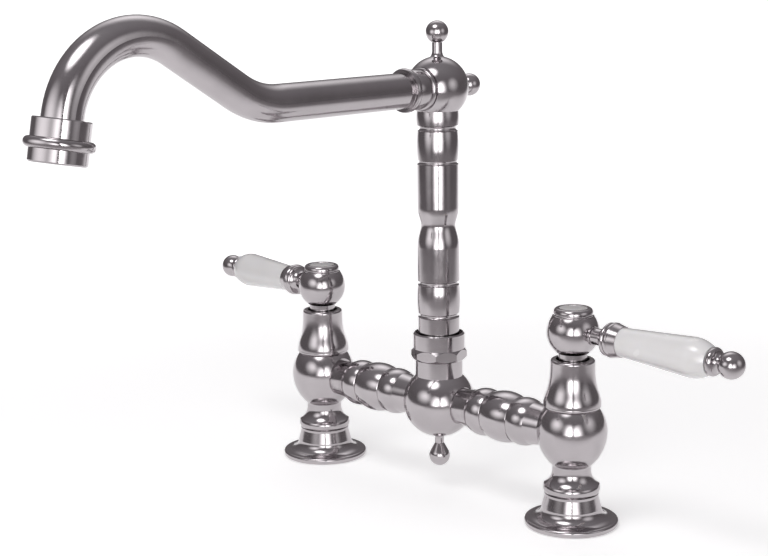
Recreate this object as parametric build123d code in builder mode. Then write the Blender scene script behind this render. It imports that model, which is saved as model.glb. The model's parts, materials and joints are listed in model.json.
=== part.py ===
from build123d import *
import os
from math import cos, radians, sin, sqrt, tan

os.makedirs("parts", exist_ok=True)

# A deck-mounted bridge kitchen faucet. Millimetres, +Z up. The origin lies on the deck, midway
# between the two valves. +X runs along the bridge to the right valve, and the spout points to -Y.

# ---- Layout ----------------------------------------------------------------------------------
valve_centres = 203.2  # hot valve to cold valve
bridge_height = 54.3  # deck to the axis of the bridge
left_lever_heading = 172.4  # seen from above, anticlockwise from +X: just behind the bridge line
right_lever_heading = -1.3
lever_droop = 1.0  # the levers point slightly down, in degrees

# ---- Fits ------------------------------------------------------------------------------------
fixed_fit = 0.05  # radial gap of a spigot, rod or ring in the bore that holds it
running_fit = 0.06  # radial clearance of what turns in a bore
disc_gap = 0.05  # water film between the two ceramic discs
passing_gap = 0.3  # between faces of pieces that turn past each other

# ---- Deck flange -----------------------------------------------------------------------------
flange_radius = 27.1
flange_rim_height = 4.0
flange_rim_rounding = 1.6
flange_flare_radius = 24.6  # where the trumpet flare runs out into the rim
skirt_foot_radius = 17.2
skirt_foot_height = 10.8
skirt_top_radius = 15.4
flange_ring_radius = 15.6
flange_ring_height = 1.4
flange_height = 19.0
gasket_inner_radius = 18.5
gasket_outer_radius = 23.5
gasket_thickness = 1.5

# ---- Valve body ------------------------------------------------------------------------------
inlet_radius = 9.3  # root of a half-inch parallel pipe thread
inlet_depth = 14.0
tail_radius = 12.8  # threaded tail that the flange sits round
bead_foot_radius = 15.2
bead_radius = 16.45
bead_height = 22.2
bead_edge_radius = 15.9
bead_edge_height = 24.2
body_neck_radius = 11.2
body_neck_bottom = 32.5
body_neck_top = 34.3
bulb_radius = 20.2
bulb_rise = 0.9  # the bulb is widest this far above the bridge axis
bulb_foot_radius = 12.5
bulb_foot_drop = 18.6  # the bulb narrows down to its foot, this far below its widest circle
bulb_shoulder_radius = 15.6
body_top_rise = 15.3  # bridge axis to the joint under the bonnet
body_top_edge = 0.7
bonnet_spigot_radius = 14.0
bonnet_spigot_height = 2.5
supply_passage_radius = 6.0
cartridge_thread_radius = 10.5
cartridge_seat_drop = 14.6  # bridge axis down to the seat of the cartridge
valve_boss_reach = 17.0  # valve axis to the face that the bridge arm meets
port_boss_radius = 11.4
port_boss_length = 4.5  # from its face inwards, into the ball
face_cut_radius = 14.0  # the bulb and the ball are cut flat this far out, round each boss
port_radius = 6.5
valve_socket_depth = 4.8

# ---- Cartridge -------------------------------------------------------------------------------
cartridge_foot_gap = 1.2
cartridge_body_radius = 9.4
cartridge_bore_radius = 8.0
cartridge_bore_height = 16.2
cartridge_ring_land_radius = 10.3
cartridge_ring_land_bottom = 19.6  # above the seat, as the next heights are
cartridge_ring_land_top = 24.4
cartridge_nut_flats = 21.0
cartridge_nut_height = 4.0
cartridge_stem_radius = 8.2
cartridge_stem_height = 23.5
window_width = 8.0
window_height = 4.4
disc_radius = 7.85
disc_thickness = 3.2
disc_hub_radius = 2.6
disc_port_angle = 70.0  # each of the two ports spans this angle
disc_port_outer_radius = 6.2
seal_height = 5.8
seal_inner_radius = 5.2
spindle_radius = 5.0
spindle_head_radius = 7.6
spindle_head_height = 4.0
spindle_ring_drop = 8.0  # top of the cartridge down to the spindle's O-ring
tang_length = 9.0
tang_width = 3.0
tang_depth = 1.4
spline_root_radius = 3.7
spline_tip_radius = 4.0
spline_teeth = 20
spline_tooth_width = 0.35
spline_tooth_depth = 0.4
clip_thickness = 0.8
clip_outer_radius = 6.2
clip_groove_radius = 4.3
clip_opening = 5.0
dust_ring_inner_radius = 6.4  # plated ring that closes the gap under the lever hub
dust_ring_outer_radius = 8.2
dust_ring_height = 1.2
hub_lift = 1.8  # top of the cartridge to the underside of the lever hub

# ---- O-rings ---------------------------------------------------------------------------------
ring_thickness = 1.3
ring_groove_width = 1.7

# ---- Bonnet ----------------------------------------------------------------------------------
bonnet_foot_radius = 15.9
bonnet_rim_radius = 16.5
bonnet_rim_height = 1.5
bonnet_middle_height = 10.9
bonnet_middle_radius = 14.3
bonnet_neck_height = 24.9
bonnet_neck_radius = 12.75
bonnet_height = 27.8
bonnet_edge_rounding = 1.4
bonnet_mouth_radius = 9.6
bonnet_lip_height = 2.0
bonnet_wall = 1.5
bonnet_shelf_radius = 13.3  # inside, just above the spigot

# ---- Lever hub and index cap -----------------------------------------------------------------
hub_radius = 15.0
hub_cut_below = 11.7  # centre of the hub sphere to its flat underside
hub_cut_above = 9.2
hub_recess_radius = 7.0
hub_recess_height = 2.6
hub_socket_top = 4.2  # above the sphere's centre
hub_web = 1.2
hub_cavity_radius = 8.05
hub_boss_radius = 5.4
lever_boss_start = 10.0  # valve axis to the inner end of the boss, inside the hub
hub_boss_reach = 14.1
screw_radius = 2.0
screw_head_radius = 3.8
screw_head_height = 2.4
screw_length = 9.0
screw_drive_flats = 2.5
cap_spigot_length = 2.8
cap_spigot_wall = 1.4
cap_radius = 11.3
cap_cove_radius = 10.85
cap_foot_height = 0.5  # straight foot under the cove
cap_band_height = 1.9
cap_height = 4.6
cap_rim_radius = 9.2
cap_floor_thickness = 1.6
index_disc_radius = 8.0
index_disc_thickness = 1.5
index_disc_crown = 0.25

# ---- Lever, measured outwards from the valve axis -----------------------------------------------
rod_radius = 2.5
rod_start = 7.2
rod_chamfer = 0.3
ferrule_ring_radius = 5.3
ferrule_ring_width = 1.1
ferrule_neck_radius = 4.75
ferrule_bell_start = 21.6
ferrule_bell_step = 0.85
ferrule_bell_end = 24.6
ferrule_bell_end_radius = 8.6
ferrule_bell_hollow = 0.35
ferrule_bead_reach = 25.3
ferrule_bead_radius = 9.35
ferrule_groove_reach = 27.0
ferrule_groove_radius = 9.0
ferrule_rim_reach = 28.6
ferrule_rim_end = 30.4
ferrule_rim_end_radius = 9.65
ferrule_rim_radius = 9.95
ferrule_end = 35.0
ferrule_end_radius = 8.7
ferrule_tenon_radius = 6.0
ferrule_tenon_length = 3.0
handle_bore_radius = 3.2
handle_start_radius = 8.15
handle_belly_reach = 79.5
handle_belly_radius = 11.0
handle_end = 92.0
handle_end_radius = 7.7
end_cap_collar_radius = 7.9
end_cap_collar_width = 4.0
end_cap_neck_radius = 4.3
end_cap_collar_rounding = 1.1
end_cap_tenon_radius = 5.0
end_cap_tenon_length = 2.6
lever_ball_radius = 7.45
lever_ball_reach = 104.4

# ---- Bridge arm, measured from its neck end ----------------------------------------------------
arm_spigot_radius = 10.0
arm_spigot_length = 4.6
arm_neck_radius = 11.0
arm_neck_middle_reach = 6.5
arm_neck_middle_radius = 11.5
arm_neck_length = 12.0
arm_neck_end_radius = 12.7
arm_bead_reach = 18.5
arm_bead_radius = 14.4
arm_groove_radius = 12.9
arm_groove_width = 0.8
arm_first_groove_reach = 24.0
arm_second_groove_reach = 44.0
arm_barrel_edge_radius = 13.4
arm_first_barrel_radius = 15.35
arm_second_barrel_reach = 49.5
arm_second_barrel_radius = 14.3
arm_taper_reach = 56.0
arm_taper_radius = 12.5
arm_end_radius = 11.2

# ---- Centre hub ------------------------------------------------------------------------------
hub_ball_radius = 21.9
hub_boss_length = 18.8  # column axis to the face that the bridge arm meets
hub_neck_radius = 14.3
hub_neck_height = 26.4  # bridge axis to the top of the visible neck
hub_thread_radius = 13.6
hub_thread_height = 4.2
hub_bore_depth = 21.0
hub_socket_depth = 6.0
hub_chamber_radius = 8.0
hub_chamber_drop = 9.0

# ---- Union nut, slip washer and retaining ring -------------------------------------------------
nut_flats = 31.5
nut_corner_radius = 17.0
nut_corner_heading = -9.0  # one of the nut's corners, anticlockwise from +X
nut_joint = 0.2  # open line between the hub's neck and the nut
nut_flats_height = 7.2
nut_foot_radius = 15.0
nut_foot_chamfer = 2.0
nut_top_chamfer = 2.1
nut_sleeve_radius = 15.6
nut_height = 16.7
nut_edge_rounding = 0.7
nut_lip_height = 2.6
nut_mouth_radius = 14.1
slip_washer_radius = 13.25
slip_washer_thickness = 0.8
retaining_ring_thickness = 2.2
retaining_ring_radius = 13.25
retaining_ring_opening = 9.0
retaining_groove_radius = 11.0
retaining_groove_rise = 1.0  # above the shoulder of the column

# ---- Column, upper features measured down from its top ----------------------------------------
column_radius = 12.45
column_bore_radius = 6.5
column_length = 146.0
column_spigot_radius = 9.0
column_spigot_length = 20.0
lower_collar_height = 21.5  # above the column's shoulder, as the next heights are
lower_barrel_bottom = 24.2
lower_barrel_top = 41.3
column_groove_radius = 11.4
barrel_bulge = 0.5
shaft_bottom = 44.0
shaft_radius = 12.65
shaft_top = 64.6
waist_height = 78.5
waist_radius = 10.45
waist_top = 88.2
upper_shaft_radius = 12.4
upper_shaft_drop = 31.7
upper_barrel_drop = 29.1
upper_barrel_end_drop = 11.9
upper_barrel_edge_radius = 12.0
top_groove_radius = 10.8
top_collar_radius = 12.7
top_collar_height = 8.5
column_ring_drops = (6.0, 13.0)  # shoulder of the column down to its two O-rings
column_top_bore_radius = 9.0
column_top_bore_depth = 10.0

# ---- Head ------------------------------------------------------------------------------------
head_ball_radius = 18.5
head_rise = 13.4  # top of the column to the centre of the head ball
head_boss_reach = 13.4
head_boss_radius = 13.0
head_socket_reach = 9.5
head_passage_radius = 6.5
finial_seat_radius = 5.0
finial_neck_radius = 3.05
finial_flare_height = 3.6
finial_ball_radius = 6.73
finial_stud_radius = 2.0
finial_stud_length = 7.0
top_finial_reach = 32.5  # centre of the head ball to the centre of the finial ball
side_finial_reach = 28.5
bottom_finial_seat_radius = 3.4
bottom_finial_flare_height = 1.6
bottom_finial_neck_radius = 2.75
bottom_finial_reach = 34.5  # bridge axis to the centre of the finial ball
bottom_finial_ball_radius = 6.43
bottom_finial_cone_height = 8.2  # the teardrop's cone starts this far above the ball's centre
bottom_finial_tangent_rise = 2.85  # and runs into the ball here

# ---- Spout, measured outwards from the column axis ---------------------------------------------
tube_radius = 10.4
tube_wall = 1.3
socket_bead_radius = 12.5
socket_bead_width = 2.8
socket_groove_radius = 11.4
socket_barrel_radius = 11.9
socket_barrel_end = 25.2
socket_ring_radius = 12.95
socket_ring_start = 26.2
socket_ring_end = 30.0
socket_ring_rounding = 0.6
socket_step_radius = 11.7
socket_end = 31.2
bend_reach = 143.3
bend_radius = 55.0
rise_angle = 31.5
rise_length = 128.5  # corner to corner of the unrounded centre line
arch_radius = 45.3
outlet_tilt = 11.0  # the outlet leans outwards, in degrees from straight down
tube_end_length = 0.5  # end of the arch to the top of the outlet collar
tube_insertion = 8.0

# ---- Outlet, measured along its own axis from the top of the collar ----------------------------
outlet_radius = 14.6
outlet_ring_thickness = 5.6
outlet_ring_projection = 2.9
outlet_ring_reach = 12.1
outlet_collar_length = 14.9
outlet_edge_rounding = 0.6
outlet_thread_radius = 11.8
outlet_passage_radius = 9.3
outlet_web_end = 10.2
aerator_end = 21.6
aerator_thread_length = 3.9
aerator_bore_radius = 10.2
aerator_lip_radius = 9.2
aerator_lip_height = 0.8
aerator_chamfer = 0.8
aerator_washer_inner_radius = 7.6
aerator_insert_height = 7.9
aerator_insert_wall = 1.4
aerator_cell_size = 1.5
aerator_cell_pitch = 2.1
aerator_cells_across = 9
aerator_grid_radius = 8.3
aerator_floor_thickness = 2.4

# ---- Heights that follow from the sizes above --------------------------------------------------
bulb_height = bridge_height + bulb_rise
body_top = bridge_height + body_top_rise
cartridge_seat = bridge_height - cartridge_seat_drop
cartridge_foot = cartridge_seat + cartridge_foot_gap
cartridge_nut_bottom = body_top + bonnet_spigot_height
cartridge_stem_bottom = cartridge_nut_bottom + cartridge_nut_height
cartridge_top = cartridge_stem_bottom + cartridge_stem_height
fixed_disc_bottom = cartridge_seat + seal_height
moving_disc_bottom = fixed_disc_bottom + disc_thickness + disc_gap
spindle_head_bottom = moving_disc_bottom + disc_thickness
hub_bottom = cartridge_top + hub_lift
hub_height = hub_bottom + hub_cut_below
hub_top = hub_height + hub_cut_above
hub_neck_top = bridge_height + hub_neck_height
hub_thread_top = hub_neck_top + hub_thread_height
column_shoulder = hub_thread_top + slip_washer_thickness + disc_gap
column_top = column_shoulder + column_length
head_height = column_top + head_rise

valve_half = valve_centres / 2
bridge_axis = Axis((0, 0, bridge_height), (1, 0, 0))
arm_length = valve_half - hub_boss_length - valve_boss_reach
ring_centre_radius = arm_spigot_radius - ring_thickness / 2
ring_floor_radius = arm_spigot_radius - ring_thickness - fixed_fit


def upright(x):
    """Plane through the vertical axis at x, on which a profile is drawn as (radius, height)."""
    return Plane(origin=(x, 0, 0), x_dir=(0, 1, 0), z_dir=(1, 0, 0))


def bridge_plane(x, direction):
    """Plane on which a profile along the bridge is drawn as (distance from x, radius)."""
    return Plane(
        origin=(x, 0, bridge_height), x_dir=(direction, 0, 0), z_dir=(0, -direction, 0)
    )


def port_cut(face, socket_depth, outermost):
    """Outline of what is cut away for a bridge port: passage, socket and flat face."""
    with BuildLine() as outline:
        Polyline(
            (0, 0),
            (0, port_radius),
            (face - socket_depth, port_radius),
            (face - socket_depth, arm_spigot_radius + fixed_fit),
            (face, arm_spigot_radius + fixed_fit),
            (face, face_cut_radius),
            (outermost + 1, face_cut_radius),
            (outermost + 1, 0),
            (0, 0),
        )
    return outline


def travel(point, angle, distance):
    """Point at a distance from another one, in a direction given in degrees."""
    return (
        point[0] + distance * cos(radians(angle)),
        point[1] + distance * sin(radians(angle)),
    )


def sector(middle, outer_radius):
    """Outline of a port of the ceramic discs, its middle at an angle in degrees."""
    first = middle - disc_port_angle / 2
    last = middle + disc_port_angle / 2
    with BuildLine() as outline:
        CenterArc((0, 0), disc_hub_radius, first, disc_port_angle)
        CenterArc((0, 0), outer_radius, first, disc_port_angle)
        for edge in (first, last):
            Line(travel((0, 0), edge, disc_hub_radius), travel((0, 0), edge, outer_radius))
    return outline


def vertical(x):
    return Axis((x, 0, 0), (0, 0, 1))


def level(x, height):
    """Horizontal plane at a height, centred on the vertical axis at x."""
    return Plane(origin=(x, 0, height))


def sphere_height(ball_radius, circle_radius):
    """Distance from a ball's centre to the circle of the given radius on it."""
    return sqrt(ball_radius**2 - circle_radius**2)


def save(finished, name):
    finished.label = name
    export_step(finished, f"parts/{name}.step")


valve_positions = {"left": -valve_half, "right": valve_half}

# ---- Valves: what is fixed to the deck ---------------------------------------------------------
for side, x in valve_positions.items():
    inwards = 1 if side == "left" else -1

    # Deck flange: a thin rim, a trumpet flare and a skirt with a fine ring at its top.
    flange_bore = tail_radius + fixed_fit
    ring_bottom = flange_height - flange_ring_height
    with BuildPart() as base_flange:
        with BuildSketch(upright(x)):
            with BuildLine():
                Polyline(
                    (skirt_foot_radius, skirt_foot_height),
                    (skirt_top_radius, ring_bottom),
                    (flange_ring_radius, ring_bottom),
                    (flange_ring_radius, flange_height),
                    (flange_bore, flange_height),
                    (flange_bore, 0),
                    (gasket_inner_radius, 0),
                    (gasket_inner_radius, gasket_thickness),
                    (gasket_outer_radius, gasket_thickness),
                    (gasket_outer_radius, 0),
                    (flange_radius, 0),
                    (flange_radius, flange_rim_height),
                    (flange_flare_radius, flange_rim_height),
                )
                EllipticalCenterArc(
                    (flange_flare_radius, skirt_foot_height),
                    flange_flare_radius - skirt_foot_radius,
                    skirt_foot_height - flange_rim_height,
                    start_angle=180,
                    arc_size=90,
                )
            make_face()
        revolve(axis=vertical(x))
        rim_edges = base_flange.edges().filter_by(GeomType.CIRCLE).group_by(SortBy.RADIUS)[-1]
        fillet(rim_edges, flange_rim_rounding)
    save(base_flange.part, f"{side}_base_flange")

    # Valve body: threaded tail, double-cone bead, neck and bulb, with a port to the bridge arm.
    bulb_foot = (bulb_foot_radius, bulb_height - bulb_foot_drop)
    bulb_shoulder = (bulb_shoulder_radius, body_top - body_top_edge)
    with BuildPart() as valve_body:
        with BuildSketch(upright(x)):
            with BuildLine():
                Polyline(
                    (0, body_top + bonnet_spigot_height),
                    (0, 0),
                    (tail_radius, 0),
                    (tail_radius, flange_height),
                    (bead_foot_radius, flange_height),
                )
                ThreePointArc(
                    (bead_foot_radius, flange_height),
                    (bead_radius, bead_height),
                    (bead_edge_radius, bead_edge_height),
                )
                TangentArc(
                    (body_neck_radius, body_neck_bottom),
                    (bead_edge_radius, bead_edge_height),
                    tangent=(0, -1),
                )
                Line((body_neck_radius, body_neck_bottom), (body_neck_radius, body_neck_top))
                TangentArc((body_neck_radius, body_neck_top), bulb_foot, tangent=(0, 1))
                TangentArc((bulb_radius, bulb_height), bulb_foot, tangent=(0, -1))
                TangentArc((bulb_radius, bulb_height), bulb_shoulder, tangent=(0, 1))
                Polyline(
                    bulb_shoulder,
                    (bulb_shoulder_radius - body_top_edge, body_top),
                    (bonnet_spigot_radius, body_top),
                    (bonnet_spigot_radius, body_top + bonnet_spigot_height),
                    (0, body_top + bonnet_spigot_height),
                )
            make_face()
        revolve(axis=vertical(x))
        with BuildSketch(bridge_plane(x, inwards)):
            with Locations((valve_boss_reach - port_boss_length / 2, port_boss_radius / 2)):
                Rectangle(port_boss_length, port_boss_radius)
        revolve(axis=bridge_axis)
        with BuildSketch(upright(x)):
            with BuildLine():
                Polyline(
                    (0, 0),
                    (inlet_radius, 0),
                    (inlet_radius, inlet_depth),
                    (supply_passage_radius, inlet_depth),
                    (supply_passage_radius, cartridge_seat),
                    (cartridge_thread_radius, cartridge_seat),
                    (cartridge_thread_radius, body_top + bonnet_spigot_height),
                    (0, body_top + bonnet_spigot_height),
                    (0, 0),
                )
            make_face()
        revolve(axis=vertical(x), mode=Mode.SUBTRACT)
        with BuildSketch(bridge_plane(x, inwards)):
            add(port_cut(valve_boss_reach, valve_socket_depth, bulb_radius))
            make_face()
        revolve(axis=bridge_axis, mode=Mode.SUBTRACT)
    save(valve_body.part, f"{side}_valve_body")

    # Cartridge body: disc chamber with two windows, O-ring land, thread, nut and tall stem.
    ring_land_bottom = cartridge_seat + cartridge_ring_land_bottom
    ring_land_top = cartridge_seat + cartridge_ring_land_top
    ring_land_middle = (ring_land_bottom + ring_land_top) / 2
    land_floor = cartridge_thread_radius - ring_thickness - fixed_fit
    chamber_top = cartridge_foot + cartridge_bore_height
    thread_outer = cartridge_thread_radius - fixed_fit
    with BuildPart() as cartridge_body:
        with BuildSketch(upright(x)):
            with BuildLine():
                Polyline(
                    (cartridge_bore_radius, cartridge_foot),
                    (cartridge_body_radius, cartridge_foot),
                    (cartridge_body_radius, ring_land_bottom),
                    (cartridge_ring_land_radius, ring_land_bottom),
                    (cartridge_ring_land_radius, ring_land_middle - ring_groove_width / 2),
                    (land_floor, ring_land_middle - ring_groove_width / 2),
                    (land_floor, ring_land_middle + ring_groove_width / 2),
                    (cartridge_ring_land_radius, ring_land_middle + ring_groove_width / 2),
                    (cartridge_ring_land_radius, ring_land_top),
                    (thread_outer, ring_land_top),
                    (thread_outer, cartridge_nut_bottom),
                    (cartridge_stem_radius, cartridge_nut_bottom),
                    (cartridge_stem_radius, cartridge_top),
                    (spindle_radius + running_fit, cartridge_top),
                    (spindle_radius + running_fit, chamber_top),
                    (cartridge_bore_radius, chamber_top),
                    (cartridge_bore_radius, cartridge_foot),
                )
            make_face()
        revolve(axis=vertical(x))
        with BuildSketch(level(x, cartridge_nut_bottom)):
            RegularPolygon(cartridge_nut_flats / 2, side_count=6, major_radius=False)
            Circle(cartridge_stem_radius, mode=Mode.SUBTRACT)
        extrude(amount=cartridge_nut_height)
        window_plane = Plane(
            (x, 0, moving_disc_bottom + disc_thickness / 2), x_dir=(1, 0, 0), z_dir=(0, -1, 0)
        )
        with BuildSketch(window_plane):
            Rectangle(window_width, window_height)
        extrude(amount=cartridge_thread_radius, both=True, mode=Mode.SUBTRACT)
    save(cartridge_body.part, f"{side}_cartridge_body")

    # Fixed ceramic disc: two opposite ports.
    with BuildPart() as fixed_disc:
        with BuildSketch(level(x, fixed_disc_bottom)):
            Circle(disc_radius)
            for middle in (0, 180):
                add(sector(middle, disc_port_outer_radius))
                make_face(mode=Mode.SUBTRACT)
        extrude(amount=disc_thickness)
    save(fixed_disc.part, f"{side}_fixed_disc")

    # Bonnet: a bell-shaped shell over the cartridge, open at the top round its stem.
    bonnet_top = body_top + bonnet_height
    spigot_top = body_top + bonnet_spigot_height
    nut_clearance_top = cartridge_stem_bottom + passing_gap
    rim_level = body_top + bonnet_rim_height
    with BuildPart() as bonnet:
        with BuildSketch(upright(x)):
            with BuildLine():
                Line(
                    (bonnet_spigot_radius + fixed_fit, body_top), (bonnet_foot_radius, body_top)
                )
                ThreePointArc(
                    (bonnet_foot_radius, body_top),
                    (bonnet_rim_radius, body_top + bonnet_rim_height / 2),
                    (bonnet_rim_radius, rim_level),
                )
                Spline(
                    (bonnet_rim_radius, rim_level),
                    (bonnet_middle_radius, body_top + bonnet_middle_height),
                    (bonnet_neck_radius, body_top + bonnet_neck_height),
                    tangents=((0, 1), (0, 1)),
                )
                Polyline(
                    (bonnet_neck_radius, body_top + bonnet_neck_height),
                    (bonnet_neck_radius, bonnet_top),
                    (bonnet_mouth_radius, bonnet_top),
                    (bonnet_mouth_radius, bonnet_top - bonnet_lip_height),
                    (bonnet_neck_radius - bonnet_wall, bonnet_top - bonnet_lip_height),
                    (bonnet_neck_radius - bonnet_wall, body_top + bonnet_neck_height),
                    (bonnet_middle_radius - bonnet_wall, body_top + bonnet_middle_height),
                    (bonnet_shelf_radius, nut_clearance_top),
                    (bonnet_shelf_radius, spigot_top + fixed_fit),
                    (bonnet_spigot_radius + fixed_fit, spigot_top + fixed_fit),
                    (bonnet_spigot_radius + fixed_fit, body_top),
                )
            make_face()
        revolve(axis=vertical(x))
        top_edges = bonnet.edges().filter_by(GeomType.CIRCLE).group_by(Axis.Z)[-1]
        fillet(top_edges.sort_by(SortBy.RADIUS)[-1], bonnet_edge_rounding)
    save(bonnet.part, f"{side}_bonnet")

    # Bridge arm: hollow turned tube. Both arms have their neck at the left, as on the real thing.
    if side == "left":
        arm_start = x + valve_boss_reach
        start_socket, end_socket = valve_socket_depth, hub_socket_depth
    else:
        arm_start = hub_boss_length
        start_socket, end_socket = hub_socket_depth, valve_socket_depth
    arm_bead_end = arm_first_groove_reach - arm_groove_width / 2
    first_barrel_start = arm_first_groove_reach + arm_groove_width / 2
    first_barrel_end = arm_second_groove_reach - arm_groove_width / 2
    second_barrel_start = arm_second_groove_reach + arm_groove_width / 2
    ring_start = arm_spigot_length / 2 - ring_groove_width / 2
    ring_end = ring_start + ring_groove_width
    with BuildPart() as bridge_arm:
        with BuildSketch(bridge_plane(arm_start, 1)):
            with BuildLine():
                Polyline(
                    (0, arm_neck_radius),
                    (0, arm_spigot_radius),
                    (-ring_start, arm_spigot_radius),
                    (-ring_start, ring_floor_radius),
                    (-ring_end, ring_floor_radius),
                    (-ring_end, arm_spigot_radius),
                    (-arm_spigot_length, arm_spigot_radius),
                    (-arm_spigot_length, port_radius),
                    (arm_length + arm_spigot_length, port_radius),
                    (arm_length + arm_spigot_length, arm_spigot_radius),
                    (arm_length + ring_end, arm_spigot_radius),
                    (arm_length + ring_end, ring_floor_radius),
                    (arm_length + ring_start, ring_floor_radius),
                    (arm_length + ring_start, arm_spigot_radius),
                    (arm_length, arm_spigot_radius),
                    (arm_length, arm_end_radius),
                    (arm_taper_reach, arm_taper_radius),
                )
                ThreePointArc(
                    (arm_taper_reach, arm_taper_radius),
                    (arm_second_barrel_reach, arm_second_barrel_radius),
                    (second_barrel_start, arm_barrel_edge_radius),
                )
                Polyline(
                    (second_barrel_start, arm_barrel_edge_radius),
                    (arm_second_groove_reach, arm_groove_radius),
                    (first_barrel_end, arm_barrel_edge_radius),
                )
                ThreePointArc(
                    (first_barrel_end, arm_barrel_edge_radius),
                    ((first_barrel_start + first_barrel_end) / 2, arm_first_barrel_radius),
                    (first_barrel_start, arm_barrel_edge_radius),
                )
                Polyline(
                    (first_barrel_start, arm_barrel_edge_radius),
                    (arm_first_groove_reach, arm_groove_radius),
                    (arm_bead_end, arm_barrel_edge_radius),
                )
                ThreePointArc(
                    (arm_bead_end, arm_barrel_edge_radius),
                    (arm_bead_reach, arm_bead_radius),
                    (arm_neck_length, arm_neck_end_radius),
                )
                ThreePointArc(
                    (arm_neck_length, arm_neck_end_radius),
                    (arm_neck_middle_reach, arm_neck_middle_radius),
                    (0, arm_neck_radius),
                )
            make_face()
        revolve(axis=bridge_axis)
    save(bridge_arm.part, f"{side}_bridge_arm")

# ---- Small seals that both valves share, each kind as one group --------------------------------
with BuildPart() as base_gaskets:
    for x in valve_positions.values():
        with BuildSketch(level(x, 0)):
            Circle(gasket_outer_radius - fixed_fit)
            Circle(gasket_inner_radius + fixed_fit, mode=Mode.SUBTRACT)
        extrude(amount=gasket_thickness - fixed_fit)
save(base_gaskets.part, "base_gaskets")

with BuildPart() as cartridge_seals:
    for x in valve_positions.values():
        with BuildSketch(level(x, cartridge_seat)):
            Circle(cartridge_bore_radius - fixed_fit)
            Circle(seal_inner_radius, mode=Mode.SUBTRACT)
        extrude(amount=seal_height)
save(cartridge_seals.part, "cartridge_seals")

with BuildPart() as cartridge_o_rings:
    for x in valve_positions.values():
        with BuildSketch(upright(x)):
            with Locations((cartridge_thread_radius - ring_thickness / 2, ring_land_middle)):
                Circle(ring_thickness / 2)
        revolve(axis=vertical(x))
save(cartridge_o_rings.part, "cartridge_o_rings")

with BuildPart() as dust_rings:
    for x in valve_positions.values():
        with BuildSketch(level(x, cartridge_top)):
            Circle(dust_ring_outer_radius)
            Circle(dust_ring_inner_radius, mode=Mode.SUBTRACT)
        extrude(amount=dust_ring_height)
save(dust_rings.part, "dust_rings")

ring_reaches = []
for start in (-valve_half + valve_boss_reach, hub_boss_length):
    ring_reaches.append(start - arm_spigot_length / 2)
    ring_reaches.append(start + arm_length + arm_spigot_length / 2)
with BuildPart() as arm_o_rings:
    for reach in ring_reaches:
        with BuildSketch(bridge_plane(reach, 1)):
            with Locations((0, ring_centre_radius)):
                Circle(ring_thickness / 2)
        revolve(axis=bridge_axis)
save(arm_o_rings.part, "arm_o_rings")

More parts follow.
